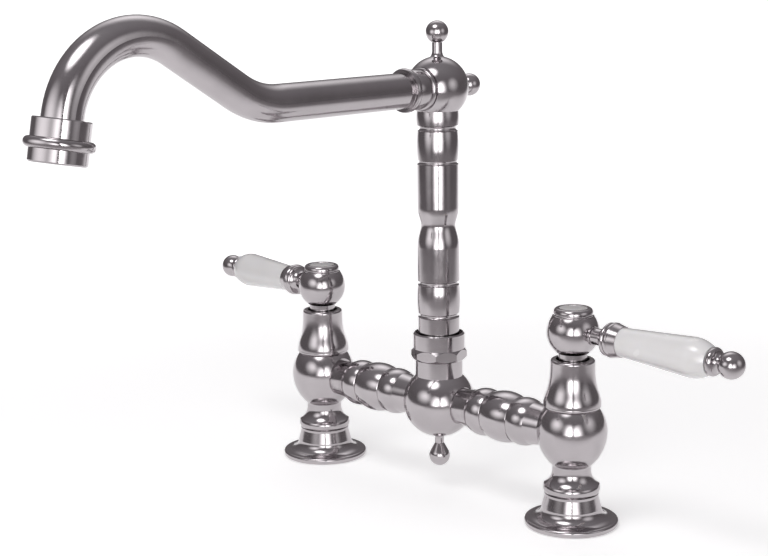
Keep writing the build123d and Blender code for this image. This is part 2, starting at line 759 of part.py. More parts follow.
# ---- Levers: what turns with each handle --------------------------------------------------------
lever_headings = {"left": left_lever_heading, "right": right_lever_heading}
for side, x in valve_positions.items():
    heading = radians(lever_headings[side])
    droop = radians(lever_droop)
    outwards = (cos(heading) * cos(droop), sin(heading) * cos(droop), -sin(droop))
    hub_centre = (x, 0, hub_height)
    lever_plane = Plane(hub_centre, x_dir=outwards, z_dir=(sin(heading), -cos(heading), 0))
    lever_axis = Axis(hub_centre, outwards)
    across_plane = Plane(hub_centre, x_dir=(sin(heading), -cos(heading), 0), z_dir=outwards)

    # Moving ceramic disc: cut away on two opposite sides, with a slot for the spindle's tang.
    with BuildPart() as moving_disc:
        with BuildSketch(level(x, moving_disc_bottom)):
            Circle(disc_radius)
            for middle in (0, 180):
                add(sector(middle, disc_radius + 1))
                make_face(mode=Mode.SUBTRACT)
        extrude(amount=disc_thickness)
        with BuildSketch(level(x, spindle_head_bottom)):
            Rectangle(tang_width + 2 * fixed_fit, tang_length + 2 * fixed_fit)
        extrude(amount=-tang_depth - fixed_fit, mode=Mode.SUBTRACT)
    save(moving_disc.part, f"{side}_moving_disc")

    # Spindle: driving head with a tang, round shaft with an O-ring groove, splined top.
    spindle_ring_height = cartridge_top - spindle_ring_drop
    spindle_ring_floor = spindle_radius - ring_thickness + fixed_fit
    spline_bottom = cartridge_top + clip_thickness + disc_gap
    spline_top = hub_height + hub_socket_top
    clip_bottom = cartridge_top + disc_gap
    with BuildPart() as spindle:
        with BuildSketch(upright(x)):
            with BuildLine():
                Polyline(
                    (0, spindle_head_bottom),
                    (spindle_head_radius, spindle_head_bottom),
                    (spindle_head_radius, spindle_head_bottom + spindle_head_height),
                    (spindle_radius, spindle_head_bottom + spindle_head_height),
                    (spindle_radius, spindle_ring_height - ring_groove_width / 2),
                    (spindle_ring_floor, spindle_ring_height - ring_groove_width / 2),
                    (spindle_ring_floor, spindle_ring_height + ring_groove_width / 2),
                    (spindle_radius, spindle_ring_height + ring_groove_width / 2),
                    (spindle_radius, clip_bottom),
                    (clip_groove_radius, clip_bottom),
                    (clip_groove_radius, spline_bottom),
                    (spindle_radius, spline_bottom),
                    (spindle_radius, hub_bottom + hub_recess_height - passing_gap),
                    (spline_root_radius, hub_bottom + hub_recess_height - passing_gap),
                    (spline_root_radius, spline_top),
                    (0, spline_top),
                    (0, spindle_head_bottom),
                )
            make_face()
        revolve(axis=vertical(x))
        with BuildSketch(level(x, hub_bottom + hub_recess_height)):
            with PolarLocations(spline_tip_radius - spline_tooth_depth / 2, spline_teeth):
                Rectangle(spline_tooth_depth, spline_tooth_width)
        extrude(amount=spline_top - hub_bottom - hub_recess_height)
        with BuildSketch(level(x, spindle_head_bottom)):
            Rectangle(tang_width, tang_length)
        extrude(amount=-tang_depth)
        with BuildSketch(level(x, spline_top)):
            Circle(screw_radius + fixed_fit)
        extrude(amount=-screw_length, mode=Mode.SUBTRACT)
    save(spindle.part, f"{side}_spindle")

    with BuildPart() as spindle_o_ring:
        with BuildSketch(upright(x)):
            with Locations((spindle_radius - ring_thickness / 2 + fixed_fit, spindle_ring_height)):
                Circle(ring_thickness / 2 - fixed_fit)
        revolve(axis=vertical(x))
    save(spindle_o_ring.part, f"{side}_spindle_o_ring")

    # Spindle clip: an open ring in its groove, above the cartridge's stem.
    with BuildPart() as spindle_clip:
        with BuildSketch(level(x, clip_bottom)):
            Circle(clip_outer_radius)
            Circle(clip_groove_radius + fixed_fit, mode=Mode.SUBTRACT)
            with Locations((0, clip_outer_radius)):
                Rectangle(clip_opening, 2 * clip_outer_radius - 2, mode=Mode.SUBTRACT)
        extrude(amount=clip_thickness - fixed_fit)
    save(spindle_clip.part, f"{side}_spindle_clip")

    # Lever hub: a ball cut flat above and below, with a flat seat for the lever.
    lower_circle = sphere_height(hub_radius, hub_cut_below)
    upper_circle = sphere_height(hub_radius, hub_cut_above)
    web_top = hub_height + hub_socket_top + hub_web
    with BuildPart() as lever_hub:
        with BuildSketch(upright(x)):
            with BuildLine():
                Polyline(
                    (upper_circle, hub_top),
                    (hub_cavity_radius, hub_top),
                    (hub_cavity_radius, web_top),
                    (screw_radius + fixed_fit, web_top),
                    (screw_radius + fixed_fit, hub_height + hub_socket_top),
                    (spline_tip_radius + fixed_fit, hub_height + hub_socket_top),
                    (spline_tip_radius + fixed_fit, hub_bottom + hub_recess_height),
                    (hub_recess_radius, hub_bottom + hub_recess_height),
                    (hub_recess_radius, hub_bottom),
                    (lower_circle, hub_bottom),
                )
                ThreePointArc(
                    (lower_circle, hub_bottom), (hub_radius, hub_height), (upper_circle, hub_top)
                )
            make_face()
        revolve(axis=vertical(x))
        with BuildSketch(lever_plane):
            with Locations(((lever_boss_start + hub_boss_reach) / 2, hub_boss_radius / 2)):
                Rectangle(hub_boss_reach - lever_boss_start, hub_boss_radius)
        revolve(axis=lever_axis)
        with BuildSketch(lever_plane):
            with BuildLine():
                Polyline(
                    (rod_start, 0),
                    (rod_start, rod_radius + fixed_fit),
                    (hub_boss_reach, rod_radius + fixed_fit),
                    (hub_boss_reach, 2 * hub_boss_radius),
                    (hub_radius + 1, 2 * hub_boss_radius),
                    (hub_radius + 1, 0),
                    (rod_start, 0),
                )
            make_face()
        revolve(axis=lever_axis, mode=Mode.SUBTRACT)
    save(lever_hub.part, f"{side}_lever_hub")

    # Hub screw: a socket head screw through the web of the hub into the spindle.
    with BuildPart() as hub_screw:
        with BuildSketch(level(x, web_top)):
            Circle(screw_radius)
        extrude(amount=-(screw_length - fixed_fit) - hub_web)
        with BuildSketch(level(x, web_top)):
            Circle(screw_head_radius)
        extrude(amount=screw_head_height)
        with BuildSketch(level(x, web_top + screw_head_height)):
            RegularPolygon(screw_drive_flats / 2, side_count=6, major_radius=False)
        extrude(amount=-screw_head_height / 2, mode=Mode.SUBTRACT)
    save(hub_screw.part, f"{side}_hub_screw")

    # Index cap: a chrome bezel with a coved band, screwed into the hub's cavity.
    cap_top = hub_top + cap_height
    cap_foot_top = hub_top + cap_foot_height
    cap_band_top = hub_top + cap_band_height
    disc_seat = cap_top - index_disc_thickness
    spigot_outer = hub_cavity_radius - fixed_fit
    with BuildPart() as index_cap:
        with BuildSketch(upright(x)):
            with BuildLine():
                Polyline(
                    (cap_rim_radius, cap_top),
                    (index_disc_radius + fixed_fit, cap_top),
                    (index_disc_radius + fixed_fit, disc_seat),
                    (0, disc_seat),
                    (0, disc_seat - cap_floor_thickness),
                    (spigot_outer - cap_spigot_wall, disc_seat - cap_floor_thickness),
                    (spigot_outer - cap_spigot_wall, hub_top - cap_spigot_length),
                    (spigot_outer, hub_top - cap_spigot_length),
                    (spigot_outer, hub_top),
                    (cap_radius, hub_top),
                    (cap_radius, cap_foot_top),
                )
                ThreePointArc(
                    (cap_radius, cap_foot_top),
                    (cap_cove_radius, (cap_foot_top + cap_band_top) / 2),
                    (cap_radius, cap_band_top),
                )
                EllipticalCenterArc(
                    (cap_rim_radius, cap_band_top),
                    cap_radius - cap_rim_radius,
                    cap_top - cap_band_top,
                    start_angle=0,
                    arc_size=90,
                )
            make_face()
        revolve(axis=vertical(x))
    save(index_cap.part, f"{side}_index_cap")

    # Index disc: plain glazed porcelain, slightly crowned.
    with BuildPart() as index_disc:
        with BuildSketch(upright(x)):
            with BuildLine():
                Polyline(
                    (0, cap_top),
                    (0, disc_seat),
                    (index_disc_radius, disc_seat),
                    (index_disc_radius, cap_top - index_disc_crown),
                )
                TangentArc(
                    (0, cap_top), (index_disc_radius, cap_top - index_disc_crown), tangent=(1, 0)
                )
            make_face()
        revolve(axis=vertical(x))
    save(index_disc.part, f"{side}_index_disc")

    # Lever rod: one threaded rod from the hub to the end cap.
    rod_end = lever_ball_reach - lever_ball_radius / 2
    with BuildPart() as lever_rod:
        with BuildSketch(across_plane.offset(rod_start)):
            Circle(rod_radius)
        extrude(amount=rod_end - rod_start)
        chamfer(lever_rod.edges().filter_by(GeomType.CIRCLE), rod_chamfer)
    save(lever_rod.part, f"{side}_lever_rod")

    # Lever ferrule: neck and bell-shaped flange between the hub and the porcelain.
    neck_start = hub_boss_reach + ferrule_ring_width
    bell_start_radius = ferrule_neck_radius + ferrule_bell_step
    with BuildPart() as lever_ferrule:
        with BuildSketch(lever_plane):
            with BuildLine():
                Polyline(
                    (ferrule_bell_start, ferrule_neck_radius),
                    (neck_start, ferrule_neck_radius),
                    (neck_start, ferrule_ring_radius),
                    (hub_boss_reach, ferrule_ring_radius),
                    (hub_boss_reach, rod_radius + fixed_fit),
                    (ferrule_end + ferrule_tenon_length, rod_radius + fixed_fit),
                    (ferrule_end + ferrule_tenon_length, ferrule_tenon_radius),
                    (ferrule_end, ferrule_tenon_radius),
                    (ferrule_end, ferrule_end_radius),
                )
                Line((ferrule_end, ferrule_end_radius), (ferrule_rim_end, ferrule_rim_end_radius))
                ThreePointArc(
                    (ferrule_rim_end, ferrule_rim_end_radius),
                    (ferrule_rim_reach, ferrule_rim_radius),
                    (ferrule_groove_reach, ferrule_groove_radius),
                )
                ThreePointArc(
                    (ferrule_groove_reach, ferrule_groove_radius),
                    (ferrule_bead_reach, ferrule_bead_radius),
                    (ferrule_bell_end, ferrule_bell_end_radius),
                )
                ThreePointArc(
                    (ferrule_bell_end, ferrule_bell_end_radius),
                    (
                        (ferrule_bell_start + ferrule_bell_end) / 2 + ferrule_bell_hollow,
                        (bell_start_radius + ferrule_bell_end_radius) / 2 - ferrule_bell_hollow,
                    ),
                    (ferrule_bell_start, bell_start_radius),
                )
                Line(
                    (ferrule_bell_start, bell_start_radius),
                    (ferrule_bell_start, ferrule_neck_radius),
                )
            make_face()
        revolve(axis=lever_axis)
    save(lever_ferrule.part, f"{side}_lever_ferrule")

    # Lever handle: one tapered porcelain piece, swelling outwards and rounded at its outer end.
    taper = (handle_belly_reach - ferrule_end, handle_belly_radius - handle_start_radius)
    ferrule_recess = ferrule_end + ferrule_tenon_length + passing_gap
    cap_recess = handle_end - end_cap_tenon_length - passing_gap
    with BuildPart() as lever_handle:
        with BuildSketch(lever_plane):
            with BuildLine():
                Polyline(
                    (handle_end, handle_end_radius),
                    (handle_end, end_cap_tenon_radius + fixed_fit),
                    (cap_recess, end_cap_tenon_radius + fixed_fit),
                    (cap_recess, handle_bore_radius),
                    (ferrule_recess, handle_bore_radius),
                    (ferrule_recess, ferrule_tenon_radius + fixed_fit),
                    (ferrule_end, ferrule_tenon_radius + fixed_fit),
                    (ferrule_end, handle_start_radius),
                    (handle_belly_reach, handle_belly_radius),
                )
                TangentArc(
                    (handle_belly_reach, handle_belly_radius),
                    (handle_end, handle_end_radius),
                    tangent=taper,
                )
            make_face()
        revolve(axis=lever_axis)
    save(lever_handle.part, f"{side}_lever_handle")

    # Handle end cap: collar, cove and ball, screwed on the end of the rod.
    collar_edge_radius = end_cap_collar_radius - end_cap_collar_rounding
    collar_end = handle_end + end_cap_collar_width
    ball_start = lever_ball_reach - sphere_height(lever_ball_radius, end_cap_neck_radius)
    rod_hole_end = rod_end + passing_gap
    with BuildPart() as handle_end_cap:
        with BuildSketch(lever_plane):
            with BuildLine():
                Polyline(
                    (lever_ball_reach + lever_ball_radius, 0),
                    (rod_hole_end, 0),
                    (rod_hole_end, rod_radius + fixed_fit),
                    (handle_end - end_cap_tenon_length, rod_radius + fixed_fit),
                    (handle_end - end_cap_tenon_length, end_cap_tenon_radius),
                    (handle_end, end_cap_tenon_radius),
                    (handle_end, collar_edge_radius),
                )
                ThreePointArc(
                    (handle_end, collar_edge_radius),
                    ((handle_end + collar_end) / 2, end_cap_collar_radius),
                    (collar_end, collar_edge_radius),
                )
                EllipticalCenterArc(
                    (ball_start, collar_edge_radius),
                    ball_start - collar_end,
                    collar_edge_radius - end_cap_neck_radius,
                    start_angle=180,
                    arc_size=90,
                )
                ThreePointArc(
                    (ball_start, end_cap_neck_radius),
                    (lever_ball_reach, lever_ball_radius),
                    (lever_ball_reach + lever_ball_radius, 0),
                )
            make_face()
        revolve(axis=lever_axis)
    save(handle_end_cap.part, f"{side}_handle_end_cap")

# ---- Centre hub: a ball with a neck above, sockets for the two arms and a stud hole below --------
chamber_bottom = bridge_height - hub_chamber_drop
hub_bore_bottom = hub_thread_top - hub_bore_depth
bottom_seat = bridge_height - sphere_height(hub_ball_radius, bottom_finial_seat_radius)
neck_foot = bridge_height + sphere_height(hub_ball_radius, hub_neck_radius)
with BuildPart() as centre_hub:
    with BuildSketch(upright(0)):
        with BuildLine():
            Polyline(
                (bottom_finial_seat_radius, bottom_seat),
                (finial_stud_radius + fixed_fit, bottom_seat),
                (finial_stud_radius + fixed_fit, bottom_seat + finial_stud_length + passing_gap),
                (0, bottom_seat + finial_stud_length + passing_gap),
                (0, chamber_bottom),
                (hub_chamber_radius, chamber_bottom),
                (hub_chamber_radius, hub_bore_bottom),
                (column_spigot_radius + running_fit, hub_bore_bottom),
                (column_spigot_radius + running_fit, hub_thread_top),
                (hub_thread_radius, hub_thread_top),
                (hub_thread_radius, hub_neck_top),
                (hub_neck_radius, hub_neck_top),
                (hub_neck_radius, neck_foot),
            )
            ThreePointArc(
                (hub_neck_radius, neck_foot),
                (hub_ball_radius, bridge_height),
                (bottom_finial_seat_radius, bottom_seat),
            )
        make_face()
    revolve(axis=vertical(0))
    for direction in (1, -1):
        with BuildSketch(bridge_plane(0, direction)):
            with Locations((hub_boss_length - port_boss_length / 2, port_boss_radius / 2)):
                Rectangle(port_boss_length, port_boss_radius)
        revolve(axis=bridge_axis)
    for direction in (1, -1):
        with BuildSketch(bridge_plane(0, direction)):
            add(port_cut(hub_boss_length, hub_socket_depth, hub_ball_radius))
            make_face()
        revolve(axis=bridge_axis, mode=Mode.SUBTRACT)
save(centre_hub.part, "centre_hub")

# Bottom finial: a teardrop on a short stem, with a stud into the hub.
cone_foot = bottom_finial_tangent_rise
cone_foot_radius = sphere_height(bottom_finial_ball_radius, cone_foot)
drop_centre = bridge_height - bottom_finial_reach
with BuildPart() as bottom_finial:
    with BuildSketch(upright(0)):
        with BuildLine():
            Polyline(
                (0, drop_centre - bottom_finial_ball_radius),
                (0, bottom_seat + finial_stud_length),
                (finial_stud_radius, bottom_seat + finial_stud_length),
                (finial_stud_radius, bottom_seat),
                (bottom_finial_seat_radius, bottom_seat),
                (bottom_finial_neck_radius, bottom_seat - bottom_finial_flare_height),
                (bottom_finial_neck_radius, drop_centre + bottom_finial_cone_height),
                (cone_foot_radius, drop_centre + cone_foot),
            )
            ThreePointArc(
                (cone_foot_radius, drop_centre + cone_foot),
                (bottom_finial_ball_radius, drop_centre),
                (0, drop_centre - bottom_finial_ball_radius),
            )
        make_face()
    revolve(axis=vertical(0))
save(bottom_finial.part, "bottom_finial")

# ---- Union nut: eight chamfered flats below, a round sleeve above, a lip over the ring ----------
nut_bottom = hub_neck_top + nut_joint
flats_top = nut_bottom + nut_flats_height
nut_top = nut_bottom + nut_height
ring_groove_bottom = column_shoulder + retaining_groove_rise
lip_bottom = ring_groove_bottom + retaining_ring_thickness + disc_gap
lip_top = lip_bottom + nut_lip_height
with BuildPart() as union_nut:
    with BuildSketch(upright(0)):
        with BuildLine():
            Polyline(
                (hub_thread_radius + fixed_fit, nut_bottom),
                (nut_foot_radius, nut_bottom),
                (nut_corner_radius, nut_bottom + nut_foot_chamfer),
                (nut_corner_radius, flats_top - nut_top_chamfer),
                (nut_sleeve_radius, flats_top),
                (nut_sleeve_radius, nut_top - nut_edge_rounding),
                (nut_sleeve_radius - nut_edge_rounding, nut_top),
                (nut_mouth_radius, nut_top),
                (nut_mouth_radius, lip_top),
                (column_radius + running_fit, lip_top),
                (column_radius + running_fit, lip_bottom),
                (hub_thread_radius + fixed_fit, lip_bottom),
                (hub_thread_radius + fixed_fit, nut_bottom),
            )
        make_face()
    revolve(axis=vertical(0))
    with BuildSketch(level(0, nut_bottom)):
        Circle(2 * nut_corner_radius)
        RegularPolygon(
            nut_flats / 2, side_count=8, major_radius=False, rotation=nut_corner_heading,
            mode=Mode.SUBTRACT,
        )
    extrude(amount=nut_flats_height, mode=Mode.SUBTRACT)
save(union_nut.part, "union_nut")

with BuildPart() as slip_washer:
    with BuildSketch(level(0, hub_thread_top)):
        Circle(slip_washer_radius)
        Circle(column_spigot_radius + passing_gap, mode=Mode.SUBTRACT)
    extrude(amount=slip_washer_thickness)
save(slip_washer.part, "slip_washer")

# Retaining ring: an open ring in the column's groove, held down by the nut's lip.
with BuildPart() as retaining_ring:
    with BuildSketch(level(0, ring_groove_bottom + disc_gap / 2)):
        Circle(retaining_ring_radius)
        Circle(retaining_groove_radius + fixed_fit, mode=Mode.SUBTRACT)
        with Locations((0, retaining_ring_radius)):
            Rectangle(retaining_ring_opening, retaining_ring_radius, mode=Mode.SUBTRACT)
    extrude(amount=retaining_ring_thickness - disc_gap)
save(retaining_ring.part, "retaining_ring")

# ---- Column: turned tube with collars, barrels and a waist ---------------------------------------
spigot_bottom = column_shoulder - column_spigot_length
ring_heights = [column_shoulder - drop for drop in column_ring_drops]
column_ring_floor = column_spigot_radius - ring_thickness
lower_collar_top = column_shoulder + lower_collar_height
lower_barrel_start = column_shoulder + lower_barrel_bottom
lower_barrel_end = column_shoulder + lower_barrel_top
shaft_start = column_shoulder + shaft_bottom
shaft_end = column_shoulder + shaft_top
waist = column_shoulder + waist_height
upper_shaft_start = column_shoulder + waist_top
upper_shaft_end = column_top - upper_shaft_drop
upper_barrel_start = column_top - upper_barrel_drop
upper_barrel_end = column_top - upper_barrel_end_drop
top_collar_bottom = column_top - top_collar_height
with BuildPart() as column:
    with BuildSketch(upright(0)):
        with BuildLine():
            ring_grooves = []
            for height in sorted(ring_heights):
                ring_grooves.append((column_spigot_radius, height - ring_groove_width / 2))
                ring_grooves.append((column_ring_floor, height - ring_groove_width / 2))
                ring_grooves.append((column_ring_floor, height + ring_groove_width / 2))
                ring_grooves.append((column_spigot_radius, height + ring_groove_width / 2))
            Polyline(
                (column_radius, column_top),
                (column_top_bore_radius, column_top),
                (column_top_bore_radius, column_top - column_top_bore_depth),
                (column_bore_radius, column_top - column_top_bore_depth),
                (column_bore_radius, spigot_bottom),
                (column_spigot_radius, spigot_bottom),
                *ring_grooves,
                (column_spigot_radius, column_shoulder),
                (column_radius, column_shoulder),
                (column_radius, ring_groove_bottom),
                (retaining_groove_radius, ring_groove_bottom),
                (retaining_groove_radius, ring_groove_bottom + retaining_ring_thickness),
                (column_radius, ring_groove_bottom + retaining_ring_thickness),
                (column_radius, lower_collar_top),
            )
            ThreePointArc(
                (column_radius, lower_collar_top),
                (column_groove_radius, (lower_collar_top + lower_barrel_start) / 2),
                (column_radius, lower_barrel_start),
            )
            ThreePointArc(
                (column_radius, lower_barrel_start),
                (column_radius + barrel_bulge, (lower_barrel_start + lower_barrel_end) / 2),
                (column_radius, lower_barrel_end),
            )
            ThreePointArc(
                (column_radius, lower_barrel_end),
                (column_groove_radius, (lower_barrel_end + shaft_start) / 2),
                (shaft_radius, shaft_start),
            )
            Line((shaft_radius, shaft_start), (shaft_radius, shaft_end))
            Spline(
                (shaft_radius, shaft_end),
                (waist_radius, waist),
                (upper_shaft_radius, upper_shaft_start),
                tangents=((0, 1), (0, 1)),
            )
            Line((upper_shaft_radius, upper_shaft_start), (upper_shaft_radius, upper_shaft_end))
            ThreePointArc(
                (upper_shaft_radius, upper_shaft_end),
                (column_groove_radius, (upper_shaft_end + upper_barrel_start) / 2),
                (upper_barrel_edge_radius, upper_barrel_start),
            )
            ThreePointArc(
                (upper_barrel_edge_radius, upper_barrel_start),
                (
                    upper_barrel_edge_radius + barrel_bulge,
                    (upper_barrel_start + upper_barrel_end) / 2,
                ),
                (upper_barrel_edge_radius, upper_barrel_end),
            )
            ThreePointArc(
                (upper_barrel_edge_radius, upper_barrel_end),
                (top_groove_radius, (upper_barrel_end + top_collar_bottom) / 2),
                (column_radius, top_collar_bottom),
            )
            ThreePointArc(
                (column_radius, top_collar_bottom),
                (top_collar_radius, (top_collar_bottom + column_top) / 2),
                (column_radius, column_top),
            )
        make_face()
    revolve(axis=vertical(0))
save(column.part, "column")

with BuildPart() as column_o_rings:
    for height in ring_heights:
        with BuildSketch(upright(0)):
            with Locations((column_spigot_radius - ring_thickness / 2, height)):
                Circle(ring_thickness / 2 - fixed_fit)
        revolve(axis=vertical(0))
save(column_o_rings.part, "column_o_rings")

# ---- Head: a ball on the column, with a socket for the spout and seats for two finials -----------
spout_plane = Plane((0, 0, head_height), x_dir=(0, -1, 0), z_dir=(-1, 0, 0))
spout_axis = Axis((0, 0, head_height), (0, -1, 0))
towards_spout = Plane((0, 0, head_height), x_dir=(1, 0, 0), z_dir=(0, -1, 0))
finial_seat = sphere_height(head_ball_radius, finial_seat_radius)
finial_hole_radius = finial_stud_radius + fixed_fit
finial_hole_depth = finial_stud_length + passing_gap
ball_foot_radius = sphere_height(head_ball_radius, head_rise)
head_spigot_radius = column_top_bore_radius - fixed_fit
head_spigot_bottom = column_top - column_top_bore_depth + passing_gap
with BuildPart() as head_ball:
    with BuildSketch(Plane.XZ):
        with BuildLine():
            Polyline(
                (ball_foot_radius, column_top),
                (head_spigot_radius, column_top),
                (head_spigot_radius, head_spigot_bottom),
                (head_passage_radius, head_spigot_bottom),
                (head_passage_radius, head_height),
                (0, head_height),
                (0, head_height + finial_seat - finial_hole_depth),
                (finial_hole_radius, head_height + finial_seat - finial_hole_depth),
                (finial_hole_radius, head_height + finial_seat),
                (finial_seat_radius, head_height + finial_seat),
            )
            ThreePointArc(
                (finial_seat_radius, head_height + finial_seat),
                (head_ball_radius, head_height),
                (ball_foot_radius, column_top),
            )
        make_face()
    revolve(axis=vertical(0))
    with BuildSketch(towards_spout):
        Circle(head_passage_radius)
    extrude(amount=head_ball_radius, mode=Mode.SUBTRACT)
    with BuildSketch(towards_spout.offset(head_boss_reach)):
        Circle(head_boss_radius)
    extrude(amount=head_ball_radius, mode=Mode.SUBTRACT)
    with BuildSketch(towards_spout.offset(head_socket_reach)):
        Circle(tube_radius + fixed_fit)
    extrude(amount=head_ball_radius, mode=Mode.SUBTRACT)
    with BuildSketch(towards_spout.offset(-finial_seat)):
        Circle(2 * finial_seat_radius)
    extrude(amount=-head_ball_radius, mode=Mode.SUBTRACT)
    with BuildSketch(towards_spout.offset(-finial_seat)):
        Circle(finial_hole_radius)
    extrude(amount=finial_hole_depth, mode=Mode.SUBTRACT)
save(head_ball.part, "head_ball")

# Finials of the head: a flared seat, a slim neck and a ball, with a stud into the head.
finials = {
    "top_finial": (Vector(0, 0, 1), top_finial_reach),
    "side_finial": (Vector(0, 1, 0), side_finial_reach),
}
for name, (direction, reach) in finials.items():
    base = Plane((0, 0, head_height), x_dir=(1, 0, 0), z_dir=Vector(1, 0, 0).cross(direction))
    ball_foot = reach - sphere_height(finial_ball_radius, finial_neck_radius)
    with BuildPart() as finial:
        with BuildSketch(base):
            with BuildLine():
                Polyline(
                    (0, reach + finial_ball_radius),
                    (0, finial_seat - finial_stud_length),
                    (finial_stud_radius, finial_seat - finial_stud_length),
                    (finial_stud_radius, finial_seat),
                    (finial_seat_radius, finial_seat),
                )
                EllipticalCenterArc(
                    (finial_seat_radius, finial_seat + finial_flare_height),
                    finial_seat_radius - finial_neck_radius,
                    finial_flare_height,
                    start_angle=180,
                    arc_size=90,
                )
                Line(
                    (finial_neck_radius, finial_seat + finial_flare_height),
                    (finial_neck_radius, ball_foot),
                )
                ThreePointArc(
                    (finial_neck_radius, ball_foot),
                    (finial_ball_radius, reach),
                    (0, reach + finial_ball_radius),
                )
            make_face()
        revolve(axis=Axis((0, 0, head_height), direction))
    save(finial.part, name)

# ---- Spout --------------------------------------------------------------------------------------
tube_bore_radius = tube_radius - tube_wall
socket_radius = tube_radius + fixed_fit

# Spout collar: bead, barrel and ring round the tube where it leaves the head.
socket_bead_end = head_boss_reach + socket_bead_width
with BuildPart() as spout_collar:
    with BuildSketch(spout_plane):
        with BuildLine():
            Polyline(
                (socket_end, socket_step_radius),
                (socket_end, socket_radius),
                (head_boss_reach, socket_radius),
                (head_boss_reach, socket_groove_radius),
            )
            ThreePointArc(
                (head_boss_reach, socket_groove_radius),
                ((head_boss_reach + socket_bead_end) / 2, socket_bead_radius),
                (socket_bead_end, socket_groove_radius),
            )
            ThreePointArc(
                (socket_bead_end, socket_groove_radius),
                ((socket_bead_end + socket_barrel_end) / 2, socket_barrel_radius),
                (socket_barrel_end, socket_groove_radius),
            )
            Polyline(
                (socket_barrel_end, socket_groove_radius),
                (socket_ring_start, socket_groove_radius),
                (socket_ring_start, socket_ring_radius - socket_ring_rounding),
            )
            ThreePointArc(
                (socket_ring_start, socket_ring_radius - socket_ring_rounding),
                ((socket_ring_start + socket_ring_end) / 2, socket_ring_radius),
                (socket_ring_end, socket_ring_radius - socket_ring_rounding),
            )
            Polyline(
                (socket_ring_end, socket_ring_radius - socket_ring_rounding),
                (socket_ring_end, socket_step_radius),
                (socket_end, socket_step_radius),
            )
        make_face()
    revolve(axis=spout_axis)
save(spout_collar.part, "spout_collar")

# Spout tube: level run, upward bend, rising run, arch and short end, all one bent tube.
end_angle = outlet_tilt - 90
arch_turn = rise_angle - end_angle
bend_tangent = bend_radius * tan(radians(rise_angle / 2))
arch_tangent = arch_radius * tan(radians(arch_turn / 2))
first_corner = (bend_reach, 0)
second_corner = travel(first_corner, rise_angle, rise_length)
bend_start = travel(first_corner, 0, -bend_tangent)
bend_end = travel(first_corner, rise_angle, bend_tangent)
arch_start = travel(second_corner, rise_angle, -arch_tangent)
arch_end = travel(second_corner, end_angle, arch_tangent)
collar_top = travel(arch_end, end_angle, tube_end_length)
tube_end = travel(collar_top, end_angle, tube_insertion)
with BuildPart() as spout_tube:
    with BuildLine(spout_plane) as spout_path:
        Line((head_socket_reach, 0), bend_start)
        JernArc(bend_start, (1, 0), bend_radius, rise_angle)
        Line(bend_end, arch_start)
        JernArc(arch_start, travel((0, 0), rise_angle, 1), arch_radius, -arch_turn)
        Line(arch_end, tube_end)
    with BuildSketch(towards_spout.offset(head_socket_reach)):
        Circle(tube_radius)
        Circle(tube_bore_radius, mode=Mode.SUBTRACT)
    sweep(path=spout_path.wires()[0])
save(spout_tube.part, "spout_tube")

# ---- Outlet: collar with a round ring, and the aerator in it ---------------------------------------
outlet_down = (0, -cos(radians(end_angle)), sin(radians(end_angle)))
outlet_origin = (0, -collar_top[0], head_height + collar_top[1])
outlet_axis = Axis(outlet_origin, outlet_down)
# On this plane a profile is drawn as (radius, distance down the outlet).
outlet_profile = Plane(
    outlet_origin, x_dir=(1, 0, 0), z_dir=Vector(1, 0, 0).cross(Vector(*outlet_down))
)
outlet_ring_radius = outlet_ring_thickness / 2
ring_side_radius = outlet_radius + outlet_ring_projection - outlet_ring_radius
with BuildPart() as outlet_collar:
    with BuildSketch(outlet_profile):
        with BuildLine():
            Polyline(
                (ring_side_radius, outlet_ring_reach - outlet_ring_radius),
                (outlet_radius, outlet_ring_reach - outlet_ring_radius),
                (outlet_radius, outlet_edge_rounding),
                (outlet_radius - outlet_edge_rounding, 0),
                (socket_radius, 0),
                (socket_radius, tube_insertion),
                (outlet_passage_radius, tube_insertion),
                (outlet_passage_radius, outlet_web_end),
                (outlet_thread_radius, outlet_web_end),
                (outlet_thread_radius, outlet_collar_length),
                (ring_side_radius, outlet_collar_length),
                (ring_side_radius, outlet_ring_reach + outlet_ring_radius),
            )
            ThreePointArc(
                (ring_side_radius, outlet_ring_reach + outlet_ring_radius),
                (ring_side_radius + outlet_ring_radius, outlet_ring_reach),
                (ring_side_radius, outlet_ring_reach - outlet_ring_radius),
            )
        make_face()
    revolve(axis=outlet_axis)
save(outlet_collar.part, "outlet_collar")

with BuildPart() as aerator_housing:
    with BuildSketch(outlet_profile):
        with BuildLine():
            Polyline(
                (outlet_thread_radius - fixed_fit, outlet_collar_length),
                (outlet_thread_radius - fixed_fit, outlet_collar_length - aerator_thread_length),
                (aerator_bore_radius, outlet_collar_length - aerator_thread_length),
                (aerator_bore_radius, aerator_end - aerator_lip_height),
                (aerator_lip_radius, aerator_end - aerator_lip_height),
                (aerator_lip_radius, aerator_end),
                (outlet_radius - aerator_chamfer, aerator_end),
                (outlet_radius, aerator_end - aerator_chamfer),
                (outlet_radius, outlet_collar_length),
                (outlet_thread_radius - fixed_fit, outlet_collar_length),
            )
        make_face()
    revolve(axis=outlet_axis)
save(aerator_housing.part, "aerator_housing")

with BuildPart() as aerator_washer:
    with BuildSketch(outlet_profile):
        with BuildLine():
            Polyline(
                (aerator_washer_inner_radius, outlet_web_end),
                (outlet_thread_radius - fixed_fit, outlet_web_end),
                (outlet_thread_radius - fixed_fit, outlet_collar_length - aerator_thread_length),
                (aerator_washer_inner_radius, outlet_collar_length - aerator_thread_length),
                (aerator_washer_inner_radius, outlet_web_end),
            )
        make_face()
    revolve(axis=outlet_axis)
save(aerator_washer.part, "aerator_washer")

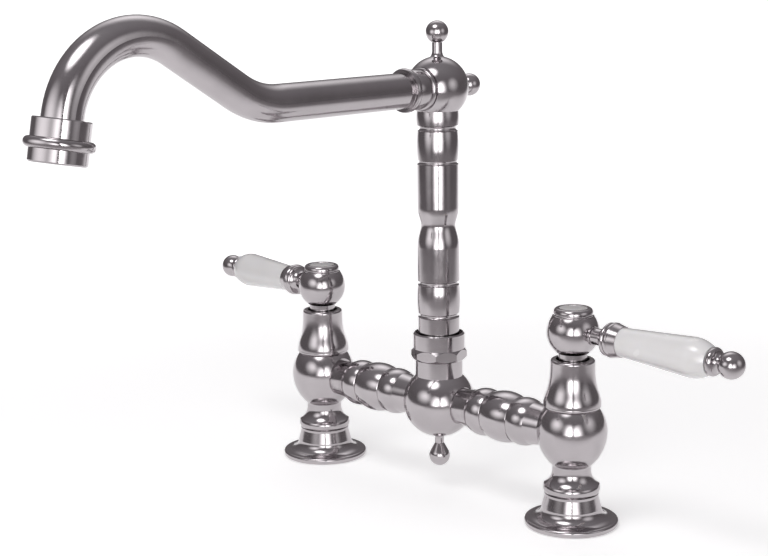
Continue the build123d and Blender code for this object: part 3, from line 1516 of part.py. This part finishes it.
# Aerator insert: a cup whose floor is pierced with a grid of square cells.
insert_bottom = aerator_end - aerator_lip_height
insert_top = insert_bottom - aerator_insert_height
insert_radius = aerator_bore_radius - fixed_fit
insert_bore_radius = insert_radius - aerator_insert_wall
with BuildPart() as aerator_insert:
    with BuildSketch(outlet_profile):
        with BuildLine():
            Polyline(
                (0, insert_bottom - aerator_floor_thickness),
                (insert_bore_radius, insert_bottom - aerator_floor_thickness),
                (insert_bore_radius, insert_top),
                (insert_radius, insert_top),
                (insert_radius, insert_bottom),
                (0, insert_bottom),
                (0, insert_bottom - aerator_floor_thickness),
            )
        make_face()
    revolve(axis=outlet_axis)
    with BuildSketch(Plane(outlet_origin, x_dir=(1, 0, 0), z_dir=outlet_down).offset(insert_top)):
        with GridLocations(
            aerator_cell_pitch, aerator_cell_pitch, aerator_cells_across, aerator_cells_across
        ):
            Rectangle(aerator_cell_size, aerator_cell_size)
        Circle(aerator_grid_radius, mode=Mode.INTERSECT)
    extrude(amount=2 * aerator_insert_height, mode=Mode.SUBTRACT)
save(aerator_insert.part, "aerator_insert")
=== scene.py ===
import json
import math

import bpy
from mathutils import Matrix, Vector

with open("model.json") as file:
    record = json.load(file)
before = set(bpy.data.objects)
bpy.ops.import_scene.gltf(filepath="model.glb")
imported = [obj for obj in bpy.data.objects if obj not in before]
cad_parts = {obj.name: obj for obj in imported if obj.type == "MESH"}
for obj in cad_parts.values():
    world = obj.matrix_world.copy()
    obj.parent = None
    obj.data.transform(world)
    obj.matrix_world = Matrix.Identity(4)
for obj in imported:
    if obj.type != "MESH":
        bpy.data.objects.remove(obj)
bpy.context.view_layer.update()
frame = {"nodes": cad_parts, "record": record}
nodes = frame["nodes"]


# ---------------------------------------------------------------- node helpers
class Nodes:
    """A small helper for building node trees: nodes by type, sockets by name."""

    def __init__(self, tree):
        self.tree = tree
        tree.nodes.clear()

    def add(self, kind, **settings):
        node = self.tree.nodes.new(kind)
        inputs = settings.pop("inputs", {})
        for key, value in settings.items():
            setattr(node, key, value)
        for key, value in inputs.items():
            if isinstance(value, bpy.types.NodeSocket):
                self.tree.links.new(value, node.inputs[key])
            else:
                node.inputs[key].default_value = value
        return node

    def link(self, source, target):
        self.tree.links.new(source, target)

    def math(self, operation, a, b=0.0, clamp=False):
        node = self.add("ShaderNodeMath", operation=operation, use_clamp=clamp, inputs={0: a, 1: b})
        return node.outputs[0]

    def vector_math(self, operation, a, b=(0.0, 0.0, 0.0)):
        """A vector operation that gives a number: LENGTH, DISTANCE or DOT_PRODUCT."""
        node = self.add("ShaderNodeVectorMath", operation=operation, inputs={0: a, 1: b})
        return node.outputs["Value"]

    def ramp(self, value, stops):
        node = self.add("ShaderNodeValToRGB", inputs={"Fac": value})
        elements = node.color_ramp.elements
        while len(elements) < len(stops):
            elements.new(0.5)
        for element, (position, colour) in zip(elements, stops):
            element.position = position
            element.color = (*colour, 1.0)
        return node.outputs["Color"]

    def noise(self, coords, scale, detail=3.0, roughness=0.5):
        node = self.add("ShaderNodeTexNoise", inputs={
            "Vector": coords, "Scale": scale, "Detail": detail, "Roughness": roughness})
        return node.outputs["Fac"]

    def span(self, value, low, high, out_low, out_high, smooth=False):
        """Maps low..high to out_low..out_high, in a straight line or with soft ends."""
        kind = "SMOOTHSTEP" if smooth else "LINEAR"
        node = self.add("ShaderNodeMapRange", interpolation_type=kind, inputs={
            "Value": value, "From Min": low, "From Max": high, "To Min": out_low, "To Max": out_high})
        return node.outputs["Result"]


def grey(level):
    return (level, level, level)


def scaled(colour, factor):
    return tuple(min(1.0, channel * factor) for channel in colour)


def new_material(name):
    material = bpy.data.materials.new(name)
    material.use_nodes = True
    tree = Nodes(material.node_tree)
    shader = tree.add("ShaderNodeBsdfPrincipled")
    out = tree.add("ShaderNodeOutputMaterial")
    tree.link(shader.outputs["BSDF"], out.inputs["Surface"])
    coords = tree.add("ShaderNodeTexCoord").outputs["Object"]
    return material, tree, shader, coords


def bump(tree, shader, height, strength, distance):
    node = tree.add("ShaderNodeBump", inputs={
        "Height": height, "Strength": strength, "Distance": distance})
    tree.link(node.outputs["Normal"], shader.inputs["Normal"])


# ---------------------------------------------------------------- materials
def polished_chrome(name, colour):
    """Chrome plate: soft cloudy haze, fine polishing grain and a slightly uneven surface."""
    material, tree, shader, coords = new_material(name)
    shader.inputs["Metallic"].default_value = 1.0
    clouds = tree.noise(coords, 38.0, 4.0, 0.55)
    grain = tree.noise(coords, 900.0, 2.0, 0.6)
    smears = tree.noise(coords, 160.0, 5.0, 0.65)
    tint = tree.ramp(clouds, [(0.30, scaled(colour, 0.92)), (0.55, colour), (0.75, scaled(colour, 1.05))])
    tree.link(tint, shader.inputs["Base Color"])
    soft = tree.span(clouds, 0.35, 0.7, 0.10, 0.16)
    fine = tree.span(grain, 0.3, 0.7, -0.012, 0.018)
    smear = tree.span(smears, 0.52, 0.72, 0.0, 0.05)
    rough = tree.math("ADD", tree.math("ADD", soft, fine), smear, clamp=True)
    tree.link(rough, shader.inputs["Roughness"])
    ripples = tree.noise(coords, 95.0, 2.0, 0.4)
    height = tree.math("ADD", ripples, tree.math("MULTIPLY", grain, 0.05))
    bump(tree, shader, height, 0.22, 0.00035)
    return material


def glazed(name, colour):
    """White glaze over porcelain: clear coat, faint colour clouds and a gentle waviness."""
    material, tree, shader, coords = new_material(name)
    clouds = tree.noise(coords, 45.0, 3.0, 0.5)
    tint = tree.ramp(clouds, [(0.3, scaled(colour, 0.965)), (0.6, colour), (0.85, scaled(colour, 1.02))])
    tree.link(tint, shader.inputs["Base Color"])
    tree.link(tree.span(clouds, 0.3, 0.7, 0.16, 0.28), shader.inputs["Roughness"])
    shader.inputs["Coat Weight"].default_value = 0.7
    shader.inputs["Coat Roughness"].default_value = 0.06
    shader.inputs["Subsurface Weight"].default_value = 0.12
    shader.inputs["Subsurface Radius"].default_value = (0.002, 0.0018, 0.0014)
    shader.inputs["Subsurface Scale"].default_value = 1.0
    bump(tree, shader, tree.noise(coords, 120.0, 2.0, 0.5), 0.12, 0.0003)
    return material


def machined(name, colour, roughness, plated=None):
    """Turned bare metal: fine tool rings along its axis and uneven tarnish.

    plated is (colour, height): above that height the metal is chrome plated.
    """
    material, tree, shader, coords = new_material(name)
    shader.inputs["Metallic"].default_value = 1.0
    clouds = tree.noise(coords, 70.0, 4.0, 0.6)
    rings = tree.noise(tree.add("ShaderNodeMapping", inputs={
        "Vector": coords, "Scale": (0.05, 0.05, 1.0)}).outputs[0], 2400.0, 1.0)
    tint = tree.ramp(clouds, [(0.3, scaled(colour, 0.8)), (0.6, colour)])
    rough = tree.span(rings, 0.3, 0.7, roughness * 0.8, roughness * 1.3)
    if plated:
        height = tree.add("ShaderNodeSeparateXYZ", inputs={0: coords}).outputs["Z"]
        above = tree.math("GREATER_THAN", height, plated[1])
        tint = tree.add("ShaderNodeMix", data_type="RGBA", inputs={
            "Factor": above, 6: tint, 7: (*plated[0], 1.0)}).outputs[2]
        rough = tree.add("ShaderNodeMix", inputs={
            "Factor": above, 2: rough, 3: PLATED_ROUGHNESS}).outputs[0]
    tree.link(tint, shader.inputs["Base Color"])
    tree.link(rough, shader.inputs["Roughness"])
    bump(tree, shader, rings, 0.25, 0.0001)
    return material


def moulded(name, colour, roughness, grain=600.0):
    """Rubber or plastic: fine grain, slight mottling."""
    material, tree, shader, coords = new_material(name)
    clouds = tree.noise(coords, 90.0, 4.0, 0.6)
    fine = tree.noise(coords, grain, 3.0, 0.6)
    tint = tree.ramp(clouds, [(0.3, scaled(colour, 0.75)), (0.7, colour)])
    tree.link(tint, shader.inputs["Base Color"])
    rough = tree.span(fine, 0.3, 0.7, roughness * 0.85, roughness * 1.15)
    tree.link(rough, shader.inputs["Roughness"])
    bump(tree, shader, fine, 0.3, 0.0002)
    return material


CHROME = (0.48, 0.45, 0.465)
PLATED_ROUGHNESS = 0.13
PLATED_ABOVE = 0.090  # the top of each cartridge is plated where it shows in the bonnet's mouth
look = {
    "chrome": polished_chrome("chrome", CHROME),
    "brass": machined("brass", (0.72, 0.52, 0.24), 0.28, plated=(CHROME, PLATED_ABOVE)),
    "steel": machined("steel", (0.56, 0.56, 0.57), 0.3),
    "disc_ceramic": glazed("disc_ceramic", (0.80, 0.80, 0.77)),
    "porcelain": glazed("porcelain", (0.82, 0.81, 0.81)),
    "rubber": moulded("rubber", (0.025, 0.025, 0.027), 0.6),
    "nylon": moulded("nylon", (0.72, 0.72, 0.69), 0.45, 900.0),
}

slots = {entry["node"]: entry["material_slot"] for entry in frame["record"]["subparts"]}
for name, obj in nodes.items():
    obj.data.materials.clear()
    obj.data.materials.append(look[slots[name]])

# ---------------------------------------------------------------- floor
VIEW_HEADING = 44.0  # heading of the photograph's view, in degrees: 0 looks along +Y, 90 along -X
view_angle = math.radians(VIEW_HEADING)
AWAY = (-math.sin(view_angle), math.cos(view_angle), 0.0)
ACROSS = (math.cos(view_angle), math.sin(view_angle), 0.0)
FLOOR_REACH = 60.0
FLOOR_DROP = 0.0002  # keeps the floor clear of the flanges' undersides
ROOM_FLOOR = (0.64, 0.62, 0.625, 1.0)
SHEET_START = 1.05  # the sides of the white sheet meet this far in front of the object
NEAR_GLOW = 0.43  # share of full white beside the object, where its shadow has to show

corners = [(x * FLOOR_REACH, y * FLOOR_REACH, 0.0) for x, y in ((-1, -1), (1, -1), (1, 1), (-1, 1))]
floor_mesh = bpy.data.meshes.new("floor")
floor_mesh.from_pydata(corners, [], [(0, 1, 2, 3)])
floor = bpy.data.objects.new("floor", floor_mesh)
bpy.context.scene.collection.objects.link(floor)
floor.location.z = -FLOOR_DROP
material = bpy.data.materials.new("floor")
material.use_nodes = True
tree = Nodes(material.node_tree)
out = tree.add("ShaderNodeOutputMaterial")
position = tree.add("ShaderNodeTexCoord").outputs["Object"]
distance = tree.vector_math("LENGTH", position)
# A white sheet lies round the object and widens behind it, as in the photograph. In front of the
# object and to its sides it fades into the grey floor of the room.
behind = tree.vector_math("DOT_PRODUCT", position, AWAY)
sideways = tree.vector_math("DOT_PRODUCT", position, ACROSS)
ahead = tree.math("MAXIMUM", tree.math("ADD", behind, SHEET_START), 0.01)
slope = tree.math("DIVIDE", tree.math("ABSOLUTE", sideways), ahead)
narrow = tree.span(slope, 0.27, 0.78, 1.0, 0.0, smooth=True)
deep = tree.span(behind, -0.34, -0.14, 0.0, 1.0, smooth=True)
backdrop = tree.math("MULTIPLY", narrow, deep)
near = tree.span(distance, 0.20, 0.44, 1.0, 0.0, smooth=True)
paper = tree.ramp(tree.noise(position, 900.0, 2.0, 0.5), [(0.3, grey(0.90)), (0.7, grey(0.93))])
sheet = tree.add("ShaderNodeMix", data_type="RGBA", inputs={
    "Factor": tree.math("MAXIMUM", near, backdrop), 6: ROOM_FLOOR, 7: paper}).outputs[2]
matt = tree.add("ShaderNodeBsdfDiffuse", inputs={"Color": sheet})
# The backdrop is plain white to the camera and in mirrored and transmitted rays, and keeps the
# object's shadow near it.
path = tree.add("ShaderNodeLightPath")
mirrored = tree.math("MAXIMUM", path.outputs["Is Glossy Ray"], path.outputs["Is Transmission Ray"])
seen = tree.math("MAXIMUM", path.outputs["Is Camera Ray"], mirrored)
far = tree.span(distance, 0.2, 1.2, NEAR_GLOW, 1.0, smooth=True)
strength = tree.math("MULTIPLY", tree.math("MULTIPLY", far, backdrop), seen)
plain = tree.add("ShaderNodeEmission", inputs={"Color": (1, 1, 1, 1), "Strength": strength})
both = tree.add("ShaderNodeAddShader")
tree.link(matt.outputs[0], both.inputs[0])
tree.link(plain.outputs[0], both.inputs[1])
tree.link(both.outputs[0], out.inputs["Surface"])
floor_mesh.materials.append(material)

# ---------------------------------------------------------------- room light
world = bpy.data.worlds.new("room")
bpy.context.scene.world = world
world.use_nodes = True
tree = Nodes(world.node_tree)
direction = tree.add("ShaderNodeTexCoord").outputs["Generated"]
split = tree.add("ShaderNodeSeparateXYZ", inputs={0: direction})
sky = tree.ramp(tree.span(split.outputs["Z"], -0.1, 1.0, 0.0, 1.0), [
    (0.0, (0.18, 0.17, 0.175)),
    (0.25, (0.17, 0.157, 0.162)),
    (0.6, (0.24, 0.225, 0.235)),
    (1.0, (0.34, 0.33, 0.34)),
])
background = tree.add("ShaderNodeBackground", inputs={"Color": sky, "Strength": 1.0})
out = tree.add("ShaderNodeOutputWorld")
tree.link(background.outputs[0], out.inputs["Surface"])


ROUND_PEAK = 2.4  # centre of a round-fading lamp, against the same lamp lit evenly


def heading(azimuth, elevation):
    """Unit vector from the object to a viewer at these angles, in degrees."""
    a, e = math.radians(azimuth), math.radians(elevation)
    return Vector((math.sin(a) * math.cos(e), -math.cos(a) * math.cos(e), math.sin(e)))


def softbox(name, azimuth, elevation, distance, size, power, target, spread, fade):
    """A rectangular lamp seen from its target at a heading, and aimed at that target.

    fade is (start, end) for a lamp that dims across its width, or "round" for one that dims
    towards its rim.
    """
    back = heading(azimuth, elevation)
    lamp = bpy.data.lights.new(name, "AREA")
    lamp.shape = "RECTANGLE"
    lamp.size, lamp.size_y = size
    lamp.energy = power
    lamp.spread = math.radians(spread)
    lamp.use_nodes = True
    tree = Nodes(lamp.node_tree)
    place = tree.add("ShaderNodeNewGeometry").outputs["Parametric"]
    if fade == "round":
        offset = tree.vector_math("DISTANCE", place, (0.5, 0.5, 0.0))
        level = tree.span(offset, 0.0, 0.5, ROUND_PEAK, 0.0, smooth=True)
    else:
        across = tree.add("ShaderNodeSeparateXYZ", inputs={0: place}).outputs["X"]
        level = tree.math("POWER", tree.span(across, 0.0, 1.0, *fade), 2.0)
    glow = tree.add("ShaderNodeEmission", inputs={"Color": (1, 1, 1, 1), "Strength": level})
    tree.link(glow.outputs[0], tree.add("ShaderNodeOutputLight").inputs["Surface"])
    obj = bpy.data.objects.new(name, lamp)
    obj.location = Vector(target) + back * distance
    obj.rotation_mode = "QUATERNION"
    obj.rotation_quaternion = (-back).to_track_quat("-Z", "Y")
    bpy.context.scene.collection.objects.link(obj)


# Two tall lamps stand beside the camera. Each is brightest at its edge towards the camera, and the
# gap between them is the thin dark line along the middle of the chrome.
BESIDE_CAMERA = 20.0
tall = {"elevation": 0.0, "distance": 1.0, "size": (0.62, 1.1), "power": 0.8,
        "target": (0.0, 0.0, 0.56), "spread": 60.0}
softbox("front_left", VIEW_HEADING - BESIDE_CAMERA, fade=(0.0, 1.7), **tall)
softbox("front_right", VIEW_HEADING + BESIDE_CAMERA, fade=(1.7, 0.0), **tall)

# name, azimuth, elevation, distance, size, power, target, spread and fade of the round-fading lamps
softbox("outlet_left", -15.0, 0.0, 0.38, (0.8, 0.6), 0.9, (0.0, -0.24, 0.31), 180.0, "round")
softbox("right_side", 112.0, 0.0, 1.2, (1.2, 1.2), 1.5, (0.0, -0.24, 0.5), 180.0, "round")
softbox("overhead", 4.0, 62.0, 1.2, (1.0, 0.8), 2.2, (0.0, 0.0, 0.1), 100.0, "round")
softbox("rear", 224.0, 50.0, 1.5, (2.6, 1.8), 1.8, (0.0, -0.04, 0.1), 90.0, "round")

# ---------------------------------------------------------------- camera
CAMERA_PLACE = (0.64597, -0.71625, 0.32173)
CAMERA_ELEVATION = 11.18
CAMERA_LENS = 76.41
roll = math.radians(-0.73)
back = heading(VIEW_HEADING, CAMERA_ELEVATION)
right = Vector(ACROSS)
up = back.cross(right)
right_rolled = math.cos(roll) * right + math.sin(roll) * up
up_rolled = -math.sin(roll) * right + math.cos(roll) * up
camera_data = bpy.data.cameras.new("camera")
camera_data.lens = CAMERA_LENS
camera_data.sensor_width = 36.0
camera_data.clip_start, camera_data.clip_end = 0.05, 200.0
camera = bpy.data.objects.new("camera", camera_data)
bpy.context.scene.collection.objects.link(camera)
turn = Matrix((right_rolled, up_rolled, back)).transposed().to_4x4()
camera.matrix_world = Matrix.Translation(CAMERA_PLACE) @ turn
bpy.context.scene.camera = camera
bpy.context.scene.view_settings.view_transform = "Standard"
